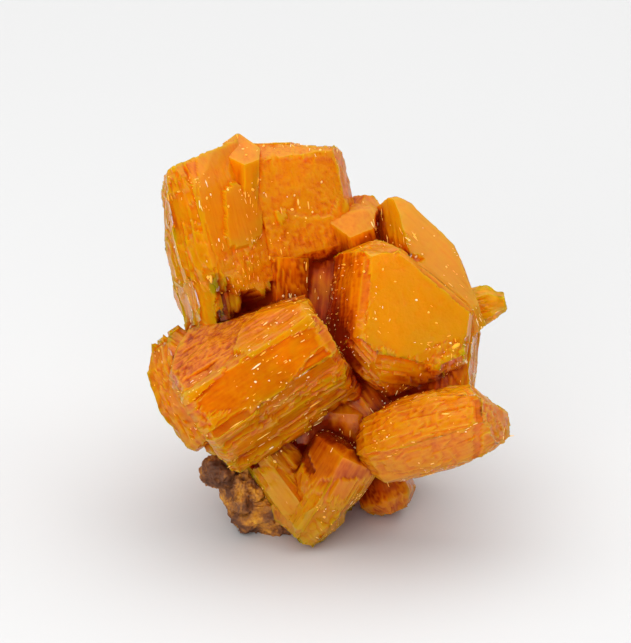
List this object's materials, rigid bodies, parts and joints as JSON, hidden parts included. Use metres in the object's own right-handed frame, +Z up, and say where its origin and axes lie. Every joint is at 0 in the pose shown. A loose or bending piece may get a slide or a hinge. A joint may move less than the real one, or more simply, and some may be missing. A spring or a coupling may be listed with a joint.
{
  "type": "mimetite crystal cluster",
  "caption": "Intergrown cluster of stout, barrel-shaped orange mimetite crystals with a small brown limonite matrix chip, cut flat underneath so that it stands.",
  "frame": {"origin": "centre of the bounding box in plan, on the surface that the group stands on", "axes": "+Z up, -Y towards the front of the group, +X to its right seen from the front"},
  "size_m": [0.0238, 0.0213, 0.0247],
  "materials": {
    "mimetite": "translucent orange crystal with a resinous lustre, striated and stepped along its length, etched and rough in places",
    "limonite": "rough, knobbly brown iron oxide with yellowish crusts"
  },
  "bodies": {
    "root": {"crystal_cluster": "mimetite", "limonite_matrix": "limonite"}
  },
  "joints": []
}
